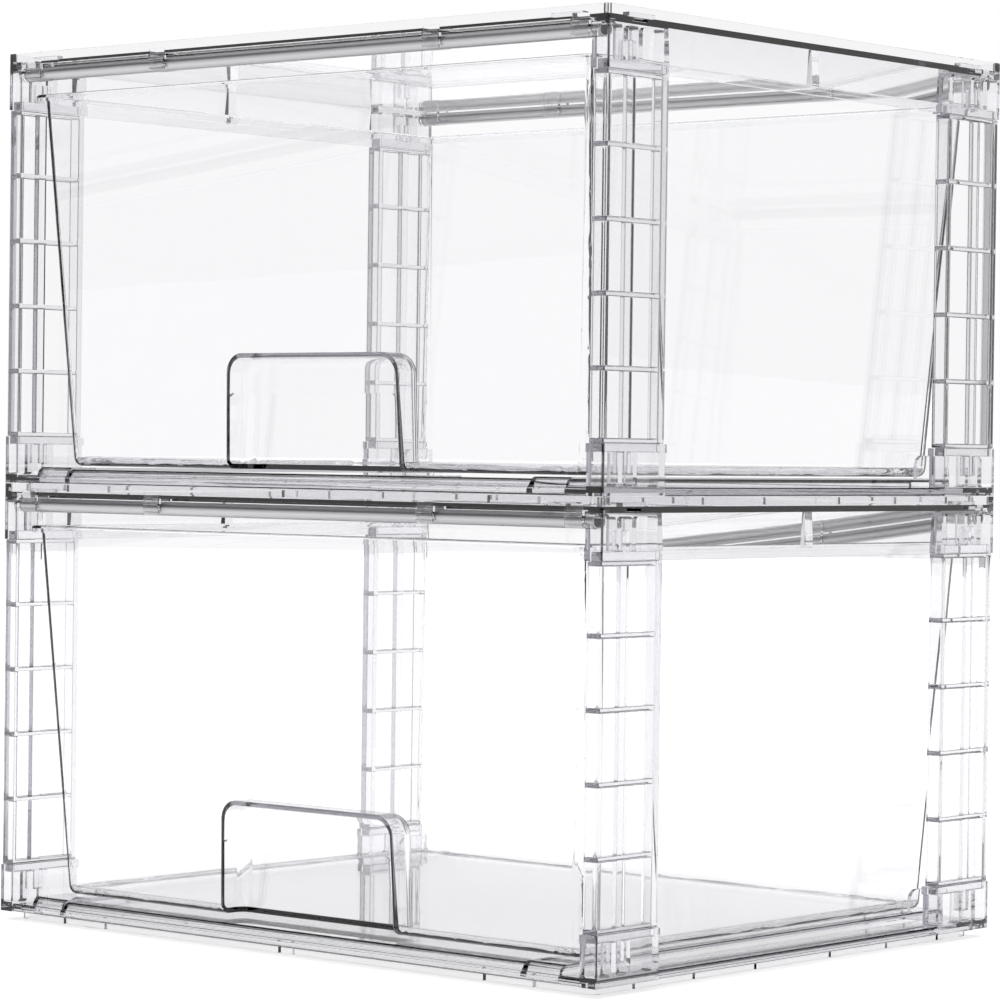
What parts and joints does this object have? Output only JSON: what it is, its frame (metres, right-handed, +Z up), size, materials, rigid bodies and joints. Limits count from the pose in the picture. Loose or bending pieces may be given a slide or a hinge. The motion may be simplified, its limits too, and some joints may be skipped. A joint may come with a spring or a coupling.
{
  "type": "stackable drawer shoe box",
  "caption": "Clear plastic shoe boxes nested in a stack, each with a lid on ribbed corner posts, steel stiffening tubes and a pull-out drawer.",
  "frame": {"origin": "middle of the footprint at the level the lowest skirt stands on", "axes": "+Z up, +Y towards the back, the drawers open towards -Y, +X to the right seen from the front"},
  "size_m": [0.342, 0.273, 0.3832],
  "materials": {
    "clear_frame": "clear polished",
    "clear_post": "clear polished",
    "clear_drawer": "clear polished",
    "steel_tube": "satin"
  },
  "bodies": {
    "lower_frame": {"lower_base": "clear_frame", "lower_lid": "clear_frame", "lower_front_left_post": "clear_post", "lower_front_right_post": "clear_post", "lower_back_left_post": "clear_post", "lower_back_right_post": "clear_post", "lower_front_tube": "steel_tube", "lower_back_tube": "steel_tube"},
    "lower_drawer": {"lower_drawer": "clear_drawer"},
    "upper_frame": {"upper_base": "clear_frame", "upper_lid": "clear_frame", "upper_front_left_post": "clear_post", "upper_front_right_post": "clear_post", "upper_back_left_post": "clear_post", "upper_back_right_post": "clear_post", "upper_front_tube": "steel_tube", "upper_back_tube": "steel_tube"},
    "upper_drawer": {"upper_drawer": "clear_drawer"}
  },
  "joints": [
    {"name": "lower_drawer_slide", "type": "slide", "parent": "lower_frame", "child": "lower_drawer", "axis": [0, -1, 0], "range_m": [0, 0.2]},
    {"name": "upper_box_lift", "type": "slide", "parent": "lower_frame", "child": "upper_frame", "axis": [0, 0, 1], "range_m": [0, 0.03]},
    {"name": "upper_drawer_slide", "type": "slide", "parent": "upper_frame", "child": "upper_drawer", "axis": [0, -1, 0], "range_m": [0, 0.2]}
  ]
}
